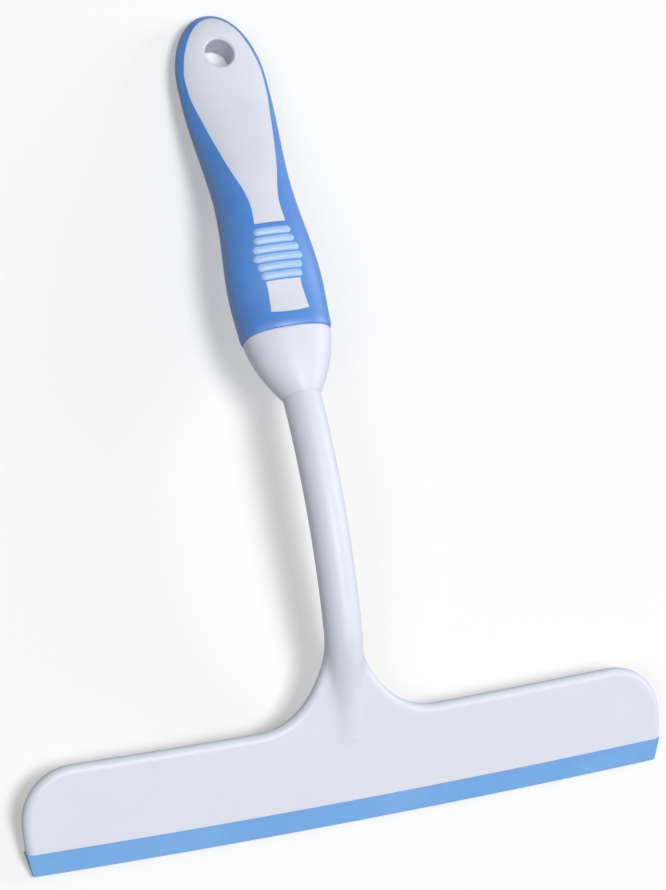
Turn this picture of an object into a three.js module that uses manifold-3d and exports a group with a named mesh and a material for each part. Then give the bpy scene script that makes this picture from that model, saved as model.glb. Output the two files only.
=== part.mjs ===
import * as THREE from 'three';
import { mergeVertices } from 'three/addons/utils/BufferGeometryUtils.js';
import Module from 'manifold-3d';

const wasm = await Module();
wasm.setup();

// A window cleaning squeegee in millimetres, lying on its back with its front up.
// The head has a frame of its own: x along the blade, y from the wiping edge towards the
// handle, z out of the front face. The handle has a frame at its lower ring: y along the
// handle to its tip, z out of the thumb side.

// Fits
const seatGap = 0.3;
const overrun = 4;

// Head plate
const headWidth = 251.2;
const footInset = 0.5;
const plateHeight = 30.5;
const plateThickness = 5.6;
const plateEdgeRound = 2.7;
const widestShare = 0.33;
const cornerRadius = 20;
const headBow = 1.9;
const filletRun = 28.5;
const filletRise = 25;
const filletPull = 9;
const neckOverlap = 8;
const neckTuckShare = 0.6;

// Rubber blade
const bladeShowing = 9.1;
const bladeEndSlope = 2.1;
const bladeThickness = 5;
const bladeEdgeThickness = 2.2;
const bladeSetBack = 1.2;
const shoulderHeight = 0.6;
const webThickness = 3.4;
const webHeight = 9.4;
const beadHeight = 3;
const beadDepth = 1.2;

// Raised housing behind the plate, and the strip in it that clamps the rubber
const housingDepth = 8.6;
const housingWall = 2.4;
const housingChamfer = 1;
const stripHeight = 15.5;
const stripThickness = 2.7;
const channelEndWall = 6;
const pegRadius = 1.6;
const pegLength = 3.1;
const pegCount = 7;
const pegMargin = 10;
const pegBelowStripTop = 2.7;

// Shaft and its tongue on the plate
const shaftRootRadius = 7;
const shaftRadius = 7.15;
const shaftRootHeight = 64.6;
const shaftRootLift = -0.3;
const shaftRootAngle = THREE.MathUtils.degToRad(2.3);
const handleAngle = THREE.MathUtils.degToRad(29.9);
const archLength = 96.5;
const tongueLength = 32;
const tongueTipSink = 8;
const tongueFall = 1.6;

// Flat tang that runs from the shaft into the handle
const tangHalfWidth = 6;
const tangHalfThickness = 3.2;
const tangLength = 56;
const barSquareness = 8;

// Neck collar
const collarLength = 24.5;
const collarStep = 0.8;
const collarFullness = 1.75;
const spigotLength = 9;
const spigotHalfWidth = 11;
const spigotHalfThickness = 8;

// Handle: half widths, heights of front and back, and where along its length they lie
const handleLength = 132;
const ringHalfWidth = 17.4;
const bellyHalfWidth = 18.1;
const waistHalfWidth = 15.1;
const swellHalfWidth = 17.5;
const ringFront = 12;
const bellyFront = 11;
const waistFront = 11;
const eyeFront = 6.6;
const ringBack = 13.5;
const bellyBack = 14;
const waistBack = 12.3;
const eyeBack = 5.8;
const bellySway = 2.2;
const eyeSway = -1;
const bellyShare = 0.13;
const waistShare = 0.43;
const swellShare = 0.74;
const eyeShare = 0.86;
const tipEdgeLength = 29;
const tipRoundLength = 13;
const handleSquareness = 2.3;
const roundSquareness = 2;

// Grip sleeve, shells and the white fields that show through the sleeve
const sleeveThickness = 1.9;
const shellWall = 2.4;
const cavityStart = 6;
const cavityEnd = 96;
const splitGap = 0.3;
const fieldMargin = 2.6;
const panelFoot = 41;
const panelFootHalfWidth = 6.1;
const panelShoulder = 97;
const panelShoulderHalfWidth = 15.2;
const ribCount = 6;
const ribPitch = 3.3;
const ribHeight = 1.8;
const ribProud = 0.4;
const topRib = 37.6;
const topRibHalfWidth = 7.6;
const midRibHalfWidth = 9.8;
const lowRibHalfWidth = 8.3;
const midRibShare = 0.6;
const windowFoot = 6;
const windowHead = 17.8;
const windowFootHalfWidth = 7.5;
const windowHeadHalfWidth = 7.1;
const windowWaist = 0.5;
const windowBow = 0.8;

// Hang hole
const eyeRadius = 5.85;
const eyeWall = 2.4;
const eyeFlare = 1.1;
const eyeFlareSpread = 1.65;
const eyeFromTip = 18;

// Screws that join the shells through the tang
const screwStations = [18, 46];
const screwShankRadius = 1.5;
const screwHeadRadius = 2.8;
const screwHeadHeight = 1.9;
const screwPanShare = 0.7;
const screwLength = 11;
const screwPointLength = 2;
const screwSeat = -6.2;
const screwSlotWidth = 0.8;
const screwSlotLength = 3.6;
const screwSlotDepth = 1.1;
const bossRadius = 3.2;
const backBossRadius = 4.7;
const bossPastTang = 0.3;

// Fineness of the curved faces
const handleSides = 24;
const handleRings = 20;
const shaftSides = 20;
const shaftRings = 20;
const holeSides = 24;
const screwSides = 12;
const headSteps = 14;
const cornerSteps = 7;
const edgeSteps = 3;
const ribEndSteps = 4;
const restSamples = 260;

const white = { color: 0xdfe2ee, roughness: 0.42, metalness: 0 };
const blue = { color: 0x4f8fe0, roughness: 0.6, metalness: 0 };
const rubber = { color: 0x66a2e6, roughness: 0.55, metalness: 0 };
const steel = { color: 0xb9bdc2, roughness: 0.35, metalness: 1 };

const headHalf = headWidth / 2;
const footHalf = headHalf - footInset;
const plateTop = bladeShowing + plateHeight;
const plateWidest = bladeShowing + plateHeight * widestShare;
const bladeMid = -bladeSetBack - bladeThickness / 2;
const channelHalf = footHalf - channelEndWall;
const stripFront = -housingDepth + stripThickness;
const shoulderFoot = bladeShowing - seatGap - shoulderHeight;

// Half the rubber's thickness at a height above the wiping edge.
const rubberHalfThickness = (height) =>
    THREE.MathUtils.lerp(bladeEdgeThickness, bladeThickness, height / bladeShowing) / 2;

// The lip turns about this line, and its round top stays clear of the shoulder.
const lipAxisHeight = shoulderFoot - seatGap - rubberHalfThickness(shoulderFoot - seatGap);

const solidOf = (geometry) => {
    const bare = geometry.clone();
    bare.deleteAttribute('normal');
    bare.deleteAttribute('uv');
    const merged = mergeVertices(bare);
    return new wasm.Manifold(new wasm.Mesh({
        numProp: 3,
        vertProperties: new Float32Array(merged.attributes.position.array),
        triVerts: new Uint32Array(merged.index.array),
    }));
};

const geometryOf = (solid) => {
    const mesh = solid.getMesh();
    const geometry = new THREE.BufferGeometry();
    geometry.setAttribute('position', new THREE.BufferAttribute(mesh.vertProperties, 3));
    geometry.setIndex(new THREE.BufferAttribute(mesh.triVerts, 1));
    geometry.computeVertexNormals();
    return geometry;
};

const meshOf = (name, solid, finish) => {
    const mesh = new THREE.Mesh(geometryOf(solid), new THREE.MeshStandardMaterial(finish));
    mesh.name = name;
    return mesh;
};

// Moves every vertex of a geometry by a rule that changes its position vector in place.
const reshape = (geometry, rule) => {
    const place = geometry.attributes.position;
    const point = new THREE.Vector3();
    for (let i = 0; i < place.count; i += 1) {
        point.fromBufferAttribute(place, i);
        rule(point);
        place.setXYZ(i, point.x, point.y, point.z);
    }
    return geometry;
};

// Bends a circle's coordinate towards a squarer outline, and keeps the seam exactly closed.
const nearZero = 1e-9;
const squared = (value, squareness) => {
    const size = Math.abs(value) < nearZero ? 0 : Math.abs(value) ** (2 / squareness);
    return Math.sign(value) * size;
};

// A closed tube of changing section: sectionAt(t) gives the half sizes and where it lies.
const loft = (sides, rings, sectionAt) => {
    const geometry = new THREE.CylinderGeometry(1, 1, 1, sides, rings);
    return reshape(geometry, (point) => {
        const section = sectionAt(point.y + 0.5);
        const across = section.halfWidth * squared(point.x, section.squareness);
        const depth = point.z > 0 ? section.front : section.back;
        const out = section.sway + depth * squared(point.z, section.squareness);
        section.place(point, across, out);
    });
};

// A round bar between two levels, along the z of its frame.
const post = (radius, low, high, x, y, sides, topRadius = radius) => {
    const geometry = new THREE.CylinderGeometry(topRadius, radius, high - low, sides);
    geometry.rotateX(Math.PI / 2);
    geometry.translate(x, y, (low + high) / 2);
    return solidOf(geometry);
};

const bowAt = (x) => headBow * (x / headHalf) ** 2;

// A section of height and depth run along the head, with its ends and its bow.
const alongHead = (section, half, bowShareAt = () => 1, halfWidthAt = () => half) => {
    const geometry = new THREE.ExtrudeGeometry(section, {
        depth: 2 * half, steps: headSteps, bevelEnabled: false, curveSegments: cornerSteps,
    });
    return solidOf(reshape(geometry, (point) => {
        const height = point.x;
        const x = (point.z - half) * halfWidthAt(height) / half;
        point.set(x, height + bowAt(x) * bowShareAt(height), point.y);
    }));
};

const rectangle = (low, high, back, front) => new THREE.Shape([
    new THREE.Vector2(low, back), new THREE.Vector2(high, back),
    new THREE.Vector2(high, front), new THREE.Vector2(low, front),
]);

// Right half of the plate's outline, from its foot up round the corner to the shaft.
const plateSide = () => {
    const points = [];
    const foot = bladeShowing - plateEdgeRound - overrun;
    for (const height of [foot, bladeShowing, (bladeShowing + plateWidest) / 2, plateWidest]) {
        const share = (plateWidest - height) / (plateWidest - bladeShowing);
        points.push(new THREE.Vector2(headHalf - (headHalf - footHalf) * share ** 2, height));
    }
    for (let i = 0; i <= cornerSteps; i += 1) {
        const turn = (i / cornerSteps) * Math.PI / 2;
        const x = headHalf - cornerRadius + cornerRadius * Math.cos(turn);
        points.push(new THREE.Vector2(x, plateTop - cornerRadius + cornerRadius * Math.sin(turn)));
    }
    const filletEnd = shaftRootRadius + filletRun;
    for (let i = 1; i < headSteps / 2; i += 1) {
        const x = THREE.MathUtils.lerp(headHalf - cornerRadius, filletEnd, 2 * i / headSteps);
        points.push(new THREE.Vector2(x, plateTop));
    }
    const fillet = new THREE.QuadraticBezierCurve(
        new THREE.Vector2(filletEnd, plateTop),
        new THREE.Vector2(shaftRootRadius + filletPull, plateTop),
        new THREE.Vector2(shaftRootRadius, plateTop + filletRise),
    );
    points.push(...fillet.getPoints(cornerSteps));
    const neckTop = plateTop + filletRise + neckOverlap;
    points.push(new THREE.Vector2(shaftRootRadius * neckTuckShare, neckTop));
    return points;
};

const plate = () => {
    const right = plateSide();
    const left = right.map((point) => new THREE.Vector2(-point.x, point.y)).reverse();
    const geometry = new THREE.ExtrudeGeometry(new THREE.Shape([...right, ...left]), {
        depth: plateThickness - 2 * plateEdgeRound,
        bevelThickness: plateEdgeRound,
        bevelSize: plateEdgeRound,
        bevelOffset: -plateEdgeRound,
        bevelSegments: edgeSteps,
    });
    geometry.translate(0, 0, plateEdgeRound - plateThickness);
    const body = solidOf(reshape(geometry, (point) => {
        point.y += bowAt(point.x);
    }));
    const below = rectangle(-plateTop, bladeShowing, -plateThickness - overrun, overrun);
    return body.subtract(alongHead(below, headHalf + overrun));
};

// Place and directions along the middle of the shaft, counted from its root.
const archRadius = archLength / (handleAngle - shaftRootAngle);
const spine = (distance) => {
    const onArch = THREE.MathUtils.clamp(distance, 0, archLength);
    const straight = distance - onArch;
    const angle = shaftRootAngle + onArch / archRadius;
    const rise = archRadius * (Math.sin(angle) - Math.sin(shaftRootAngle));
    const fall = archRadius * (Math.cos(shaftRootAngle) - Math.cos(angle));
    return {
        angle,
        y: shaftRootHeight + rise + straight * Math.cos(angle),
        z: shaftRootLift - fall - straight * Math.sin(angle),
    };
};

const ringDistance = archLength + collarLength;
const ring = spine(ringDistance);
const handlePlace = new THREE.Matrix4()
    .makeRotationX(-handleAngle)
    .setPosition(0, ring.y, ring.z);

// The shaft, with a tongue below its root that sinks into the plate. The tongue's back is cut
// off along a line that runs from the shaft's back to the middle of the plate.
const shaft = () => solidOf(loft(shaftSides, shaftRings, (t) => {
    const distance = THREE.MathUtils.lerp(-tongueLength, ringDistance - spigotLength - seatGap, t);
    const at = spine(distance);
    const grown = THREE.MathUtils.clamp(1 + distance / tongueLength, 0, 1);
    const thickened = THREE.MathUtils.clamp(distance / archLength, 0, 1);
    const radius = THREE.MathUtils.lerp(shaftRootRadius, shaftRadius, thickened);
    const rootBack = shaftRootLift - shaftRootRadius;
    const floor = THREE.MathUtils.lerp(-plateThickness / 2, rootBack, grown);
    return {
        halfWidth: radius,
        front: radius,
        back: radius,
        sway: -tongueTipSink * (1 - grown ** tongueFall),
        squareness: roundSquareness,
        place: (point, across, out) => {
            const level = at.z + out * Math.cos(at.angle);
            const cut = distance < 0 ? Math.max(level, floor) : level;
            point.set(across, at.y + out * Math.sin(at.angle), cut);
        },
    };
}));

// A straight bar along the handle, from one station to another.
const bar = (low, high, halfWidth, halfThickness, squareness = barSquareness) =>
    solidOf(loft(shaftSides, 1, (t) => ({
        halfWidth,
        front: halfThickness,
        back: halfThickness,
        sway: 0,
        squareness,
        place: (point, across, out) => {
            point.set(across, THREE.MathUtils.lerp(low, high, t), out);
        },
    })));

const inHead = (solid) => solidOf(geometryOf(solid).applyMatrix4(handlePlace));

const tang = () => {
    let body = bar(-spigotLength - shaftRadius, tangLength, tangHalfWidth, tangHalfThickness);
    for (const station of screwStations) {
        const hole = post(bossRadius + seatGap, -overrun, overrun, 0, station, holeSides);
        body = body.subtract(hole);
    }
    return inHead(body);
};

const webTop = bladeShowing + webHeight;
const beadBack = bladeMid - webThickness / 2 - beadDepth;

const webSection = (gap) => rectangle(
    bladeShowing - seatGap - shoulderHeight / 2, webTop + gap,
    bladeMid - webThickness / 2 - gap, bladeMid + webThickness / 2 + gap,
);

const beadSection = (gap) => rectangle(
    webTop - beadHeight - gap, webTop + gap,
    beadBack - gap, bladeMid + webThickness / 2 + gap,
);

const stripTop = bladeShowing + stripHeight;
const stripSection = (gap, foot) => rectangle(
    foot, stripTop + gap, -housingDepth - (gap > 0 ? overrun : 0), stripFront + gap,
);

const pegs = (gap) => {
    let row = null;
    const reach = channelHalf - pegMargin;
    for (let i = 0; i < pegCount; i += 1) {
        const x = THREE.MathUtils.lerp(-reach, reach, i / (pegCount - 1));
        const y = stripTop - pegBelowStripTop + bowAt(x);
        const low = -housingDepth + stripThickness / 2;
        const peg = post(pegRadius + gap, low, stripFront + pegLength + gap, x, y, screwSides);
        row = row ? row.add(peg) : peg;
    }
    return row;
};

const housing = () => {
    const top = stripTop + housingWall;
    const section = new THREE.Shape([
        new THREE.Vector2(bladeShowing, -housingDepth),
        new THREE.Vector2(top - housingChamfer, -housingDepth),
        new THREE.Vector2(top, housingChamfer - housingDepth),
        new THREE.Vector2(top, -plateThickness / 2),
        new THREE.Vector2(bladeShowing, -plateThickness / 2),
    ]);
    return alongHead(section, channelHalf + housingWall);
};

const headAndShaft = () => {
    const foot = bladeShowing - overrun;
    return plate().add(housing()).add(shaft()).add(tang())
        .subtract(alongHead(webSection(seatGap), channelHalf + seatGap))
        .subtract(alongHead(beadSection(seatGap), channelHalf + seatGap))
        .subtract(alongHead(stripSection(seatGap, foot), channelHalf + seatGap))
        .subtract(pegs(seatGap));
};

const clampStrip = () => alongHead(stripSection(0, bladeShowing), channelHalf)
    .add(pegs(0))
    .subtract(alongHead(beadSection(seatGap), channelHalf + seatGap));

const rubberHalfWidth = (height) =>
    footHalf - bladeEndSlope * (1 - Math.min(height / bladeShowing, 1));

// The fixed rubber: a bead and web inside the head, and a shoulder just below it.
const bladeRoot = () => {
    const shoulderTop = bladeShowing - seatGap;
    const shoulder = new THREE.Shape([
        new THREE.Vector2(shoulderFoot, bladeMid - rubberHalfThickness(shoulderFoot)),
        new THREE.Vector2(shoulderTop, bladeMid - rubberHalfThickness(shoulderTop)),
        new THREE.Vector2(shoulderTop, bladeMid + rubberHalfThickness(shoulderTop)),
        new THREE.Vector2(shoulderFoot, bladeMid + rubberHalfThickness(shoulderFoot)),
    ]);
    const bowShare = (height) => (height - shoulderFoot) / shoulderHeight;
    return alongHead(shoulder, footHalf, bowShare, rubberHalfWidth)
        .add(alongHead(webSection(0), channelHalf))
        .add(alongHead(beadSection(0), channelHalf));
};

// The moving rubber: a wedge with a round top on its turning line.
const bladeLip = () => {
    const top = rubberHalfThickness(lipAxisHeight);
    const edge = bladeEdgeThickness / 2;
    const section = new THREE.Shape();
    section.moveTo(0, bladeMid - edge);
    section.lineTo(lipAxisHeight, bladeMid - top);
    section.absarc(lipAxisHeight, bladeMid, top, -Math.PI / 2, Math.PI / 2, false);
    section.lineTo(0, bladeMid + edge);
    const bowShare = (height) => Math.max(0, 1 - height / lipAxisHeight);
    return alongHead(section, footHalf, bowShare, rubberHalfWidth);
};

// A size that eases from one named station to the next along the handle.
const eased = (stations, share) => {
    let i = 0;
    while (i < stations.length - 2 && share > stations[i + 1][0]) i += 1;
    const [start, from] = stations[i];
    const [end, to] = stations[i + 1];
    return THREE.MathUtils.lerp(from, to, THREE.MathUtils.smoothstep(share, start, end));
};

const widthStations = [[0, ringHalfWidth], [bellyShare, bellyHalfWidth],
    [waistShare, waistHalfWidth], [swellShare, swellHalfWidth]];
const frontStations = [[0, ringFront], [bellyShare, bellyFront],
    [waistShare, waistFront], [eyeShare, eyeFront]];
const backStations = [[0, ringBack], [bellyShare, bellyBack],
    [waistShare, waistBack], [eyeShare, eyeBack]];
const swayStations = [[0, 0], [(bellyShare + waistShare) / 2, bellySway], [swellShare, eyeSway]];

const tipRounding = (station, length, run) => {
    const share = THREE.MathUtils.clamp((station - length + run) / run, 0, 1);
    return Math.sqrt(1 - share ** 2);
};

const handleHalfWidth = (station, inset) => {
    const size = eased(widthStations, station / handleLength) - inset;
    return size * tipRounding(station, handleLength - inset, tipEdgeLength);
};

// The handle's outer form, or the same form a wall thickness further in.
const handleForm = (inset, low, high, proud = 0) => {
    const length = handleLength - inset;
    return solidOf(loft(handleSides, handleRings, (t) => {
        const station = low + (high - low) * Math.sin(t * Math.PI / 2);
        const share = station / handleLength;
        const rounding = tipRounding(station, length, tipRoundLength);
        return {
            halfWidth: handleHalfWidth(station, inset),
            front: (eased(frontStations, share) - inset) * rounding + proud,
            back: (eased(backStations, share) - inset) * rounding,
            sway: eased(swayStations, share),
            squareness: handleSquareness,
            place: (point, across, out) => {
                point.set(across, station, out);
            },
        };
    }));
};

// Ends a form just short of its tip, where the last ring is still a small flat.
const tipShare = 0.998;
const wholeForm = (inset, proud = 0) =>
    handleForm(inset, 0, (handleLength - inset) * tipShare, proud);

const fieldPrism = (outline) => {
    const geometry = new THREE.ExtrudeGeometry(new THREE.Shape(outline), {
        depth: ringFront + overrun, bevelEnabled: false,
    });
    return solidOf(geometry);
};

const mirrored = (right) => [
    ...right,
    ...right.map((point) => new THREE.Vector2(-point.x, point.y)).reverse(),
];

// The long upper field: narrow above the ribs, then as wide as the handle allows.
const panelOutline = (grow) => {
    const right = [];
    const head = handleLength - fieldMargin + grow;
    const steps = 2 * headSteps;
    for (let i = 0; i < steps; i += 1) {
        const foot = panelFoot - grow;
        const station = foot + (head - foot) * Math.sin((i / steps) * Math.PI / 2);
        const share = (station - panelFoot) / (panelShoulder - panelFoot);
        const taper = THREE.MathUtils.lerp(panelFootHalfWidth, panelShoulderHalfWidth, share);
        const widest = handleHalfWidth(station, fieldMargin - grow);
        right.push(new THREE.Vector2(Math.min(taper + grow, widest), station));
    }
    return mirrored(right);
};

const ribHalfWidth = (index) => eased(
    [[0, topRibHalfWidth], [midRibShare, midRibHalfWidth], [1, lowRibHalfWidth]],
    index / (ribCount - 1),
);

const ribOutline = (index, grow) => {
    const radius = ribHeight / 2 + grow;
    const half = ribHalfWidth(index) + grow - radius;
    const shape = new THREE.Shape();
    const station = topRib - index * ribPitch;
    shape.absarc(half, station, radius, -Math.PI / 2, Math.PI / 2, false);
    shape.absarc(-half, station, radius, Math.PI / 2, 3 * Math.PI / 2, false);
    return shape.getPoints(ribEndSteps);
};

const windowOutline = (grow) => {
    const side = new THREE.QuadraticBezierCurve(
        new THREE.Vector2(windowFootHalfWidth + grow, windowFoot - grow),
        new THREE.Vector2(windowHeadHalfWidth - 2 * windowWaist + grow, windowHead - grow),
        new THREE.Vector2(windowHeadHalfWidth + grow, windowHead + grow),
    );
    const points = mirrored(side.getPoints(cornerSteps));
    points.push(new THREE.Vector2(0, windowFoot - windowBow - grow));
    return points;
};

const fields = (grow) => {
    let all = fieldPrism(panelOutline(grow)).add(fieldPrism(windowOutline(grow)));
    for (let i = 0; i < ribCount; i += 1) {
        all = all.add(fieldPrism(ribOutline(i, grow)));
    }
    return all;
};

const eyeStation = handleLength - eyeFromTip;
const eyePost = (radius) =>
    post(radius, -ringBack - overrun, ringFront + overrun, 0, eyeStation, holeSides);

// The flare opens the front rim of the hang hole.
const eyeFlareCone = () => {
    const rim = eyeSway + eyeFront;
    return post(eyeRadius, rim - 2 * eyeFlare, rim + eyeFlare, 0, eyeStation, holeSides,
        eyeRadius + eyeFlareSpread);
};

const gripSleeve = () => wholeForm(0)
    .subtract(handleForm(sleeveThickness, -overrun, (handleLength - sleeveThickness) * tipShare))
    .subtract(fields(0))
    .subtract(eyePost(eyeRadius + eyeWall + seatGap));

// Everything on one side of the shells' parting plane.
const sideOfSplit = (front) => {
    const size = 2 * handleLength;
    const geometry = new THREE.BoxGeometry(size, 2 * size, size);
    geometry.translate(0, 0, (front ? 1 : -1) * (size + splitGap) / 2);
    return solidOf(geometry);
};

const shellCore = () => {
    const inset = sleeveThickness + seatGap;
    const spigot = bar(-spigotLength, shellWall, spigotHalfWidth, spigotHalfThickness, handleSquareness);
    return wholeForm(inset)
        .add(spigot)
        .subtract(handleForm(inset + shellWall, cavityStart, cavityEnd))
        .subtract(bar(-spigotLength - overrun, cavityStart + overrun,
            tangHalfWidth + seatGap, tangHalfThickness + seatGap));
};

const screwPilot = (station) => post(
    screwShankRadius + seatGap, screwSeat - screwHeadHeight, screwSeat + screwLength + seatGap,
    0, station, screwSides,
);

const frontShell = () => {
    const insideWall = wholeForm(sleeveThickness + seatGap + shellWall / 2);
    const pads = fields(-seatGap).intersect(wholeForm(0, ribProud)).subtract(insideWall);
    let body = shellCore().add(pads).intersect(sideOfSplit(true));
    const bossFoot = -tangHalfThickness - bossPastTang;
    for (const station of screwStations) {
        const boss = post(bossRadius, bossFoot, 2 * ringFront, 0, station, holeSides);
        body = body.add(boss.intersect(insideWall)).subtract(screwPilot(station));
    }
    return body
        .add(eyePost(eyeRadius + eyeWall).intersect(wholeForm(0)))
        .subtract(eyePost(eyeRadius))
        .subtract(eyeFlareCone());
};

const backShell = () => {
    const core = wholeForm(sleeveThickness + seatGap);
    const bossTop = -tangHalfThickness - bossPastTang - seatGap;
    let body = shellCore().intersect(sideOfSplit(false));
    for (const station of screwStations) {
        const boss = post(backBossRadius, -2 * ringBack, bossTop, 0, station, holeSides);
        const sink = post(screwHeadRadius + seatGap, -2 * ringBack, screwSeat + seatGap,
            0, station, holeSides);
        body = body.add(boss.intersect(core)).subtract(sink).subtract(screwPilot(station));
    }
    return body.subtract(eyePost(eyeRadius + eyeWall + seatGap));
};

// A pan head screw with a cross slot, pointing out of the handle's front.
const handleScrew = (station) => {
    const profile = [
        [0, -screwHeadHeight], [screwHeadRadius * screwPanShare, -screwHeadHeight],
        [screwHeadRadius, -screwHeadHeight / 2], [screwHeadRadius, 0],
        [screwShankRadius, 0], [screwShankRadius, screwLength - screwPointLength],
        [0, screwLength],
    ].map(([radius, level]) => new THREE.Vector2(radius, level));
    const body = new THREE.LatheGeometry(profile, screwSides);
    body.rotateX(Math.PI / 2);
    let screw = solidOf(body);
    for (const turned of [false, true]) {
        const slot = new THREE.BoxGeometry(
            turned ? screwSlotWidth : screwSlotLength,
            turned ? screwSlotLength : screwSlotWidth,
            2 * screwSlotDepth,
        );
        slot.translate(0, 0, -screwHeadHeight);
        screw = screw.subtract(solidOf(slot));
    }
    return screw.translate([0, station, screwSeat]);
};

// The white bulb below the grip: a dome that closes on the shaft.
const neckCollar = () => {
    const dome = solidOf(loft(handleSides, headSteps, (t) => {
        const down = collarLength * (1 - t);
        const share = 1 - (1 - t) ** collarFullness;
        const size = (ringSize) => shaftRadius + (ringSize - collarStep - shaftRadius) * share;
        return {
            halfWidth: size(ringHalfWidth),
            front: size(ringFront),
            back: size(ringBack),
            sway: 0,
            squareness: THREE.MathUtils.lerp(roundSquareness, handleSquareness, t),
            place: (point, across, out) => {
                point.set(across, -down - seatGap * t, out);
            },
        };
    }));
    return dome
        .subtract(bar(-collarLength - overrun, overrun, shaftRadius + seatGap,
            shaftRadius + seatGap, roundSquareness))
        .subtract(bar(-spigotLength - seatGap, overrun, spigotHalfWidth + seatGap,
            spigotHalfThickness + seatGap, handleSquareness));
};

const head = new THREE.Group();
head.add(
    meshOf('head_and_shaft', headAndShaft(), white),
    meshOf('blade_clamp_strip', clampStrip(), white),
    meshOf('blade_root', bladeRoot(), rubber),
    meshOf('blade_lip', bladeLip(), rubber),
);

const handle = new THREE.Group();
handle.position.set(0, ring.y, ring.z);
handle.rotation.x = -handleAngle;
handle.add(
    meshOf('neck_collar', neckCollar(), white),
    meshOf('handle_front_shell', frontShell(), white),
    meshOf('handle_back_shell', backShell(), white),
    meshOf('grip_sleeve', gripSleeve(), blue),
);
screwStations.forEach((station, index) => {
    handle.add(meshOf(`handle_screw_${index + 1}`, handleScrew(station), steel));
});
head.add(handle);

// The squeegee lies on the foot of its housing and on the back of the handle.
const restAngle = () => {
    let steepest = 0;
    for (let i = 0; i <= restSamples; i += 1) {
        const station = handleLength * i / restSamples;
        const share = station / handleLength;
        const rounding = tipRounding(station, handleLength, tipRoundLength);
        const out = eased(swayStations, share) - eased(backStations, share) * rounding;
        const point = new THREE.Vector3(0, station, out).applyMatrix4(handlePlace);
        const fall = Math.atan2(-housingDepth - point.z, point.y - bladeShowing);
        steepest = Math.max(steepest, fall);
    }
    return steepest;
};
head.rotation.x = restAngle();

const squeegee = new THREE.Group();
squeegee.name = 'window_squeegee';
squeegee.add(head);
squeegee.updateMatrixWorld(true);
const box = new THREE.Box3().setFromObject(squeegee, true);
const middle = box.getCenter(new THREE.Vector3());
head.position.set(-middle.x, -middle.y, -box.min.z);

export default squeegee;
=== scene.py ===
import math

import bpy
import numpy as np
from mathutils import Matrix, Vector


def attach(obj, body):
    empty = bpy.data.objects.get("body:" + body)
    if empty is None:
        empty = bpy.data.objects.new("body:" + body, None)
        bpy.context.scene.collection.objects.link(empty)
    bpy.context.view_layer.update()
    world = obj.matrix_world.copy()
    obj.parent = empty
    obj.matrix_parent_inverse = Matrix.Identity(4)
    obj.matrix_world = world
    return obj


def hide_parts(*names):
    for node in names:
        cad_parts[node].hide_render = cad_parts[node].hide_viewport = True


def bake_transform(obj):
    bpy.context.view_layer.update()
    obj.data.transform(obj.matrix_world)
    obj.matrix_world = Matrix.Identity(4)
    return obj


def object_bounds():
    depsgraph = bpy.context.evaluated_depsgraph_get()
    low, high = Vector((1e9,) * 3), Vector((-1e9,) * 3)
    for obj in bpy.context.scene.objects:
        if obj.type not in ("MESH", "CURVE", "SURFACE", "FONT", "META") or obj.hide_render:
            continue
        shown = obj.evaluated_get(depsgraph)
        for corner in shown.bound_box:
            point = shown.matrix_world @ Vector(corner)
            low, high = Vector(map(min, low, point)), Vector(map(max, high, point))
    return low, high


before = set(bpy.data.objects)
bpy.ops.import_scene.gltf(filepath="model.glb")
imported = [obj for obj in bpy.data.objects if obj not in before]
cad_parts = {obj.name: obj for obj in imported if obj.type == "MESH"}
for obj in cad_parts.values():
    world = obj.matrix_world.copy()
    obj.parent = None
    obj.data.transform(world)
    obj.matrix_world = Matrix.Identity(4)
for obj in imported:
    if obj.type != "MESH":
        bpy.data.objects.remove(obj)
cad_low, cad_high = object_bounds()

# Lengths are in millimetres until a piece is placed. The head's frame has x along the
# blade, y from the wiping edge to the handle and z out of the front. The handle's frame
# starts at the grip's lower ring, with y along the handle and z out of the thumb side.
MM = 0.001
REST_ANGLE = math.radians(19.705348742)
HEAD = Matrix.Translation((0, -155.50096291, 5.02800962)) @ Matrix.Rotation(REST_ANGLE, 4, "X")
HANDLE_ANGLE = math.radians(29.9)
HANDLE = (HEAD @ Matrix.Translation((0, 177.66033319, -39.01582418))
          @ Matrix.Rotation(-HANDLE_ANGLE, 4, "X"))

# Head
HEAD_HALF = 125.6
FOOT_HALF = 125.1
PLATE_TOP = 39.6
PLATE_THICKNESS = 5.6
EDGE_ROUND = 2.7
CORNER = 20
WIDEST = 19.165
BOW = 1.9
FILLET_RUN = 28.5
FILLET_RISE = 25
FILLET_PULL = 9
NECK_OVERLAP = 8
NECK_TUCK = 0.6
HOUSING_DEPTH = 8.6
HOUSING_TOP = 27
HOUSING_HALF = 121.5
HOUSING_ROUND = 0.8
HOUSING_FILLET = 1.6
CHANNEL_HALF = 119.1
STRIP_TOP = 24.6
STRIP_FRONT = -5.9
PEG_RADIUS = 1.6
PEG_LENGTH = 3.1
PEG_COUNT = 7
PEG_MARGIN = 10
PEG_BELOW_TOP = 2.7

# Blade
BLADE_SHOWING = 9.1
BLADE_EDGE_HALF = 123
BLADE_THICKNESS = 5
BLADE_EDGE_THICKNESS = 2.2
BLADE_MID = -3.7
WEB_THICKNESS = 3.4
WEB_TOP = 18.5
BEAD_HEIGHT = 3
BEAD_DEPTH = 1.2
WEB_OVERLAP = 1
BLADE_EDGE_ROUND = 0.3
BLADE_RISE_FROM = 0.8
BLADE_STEPS = 120

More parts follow.
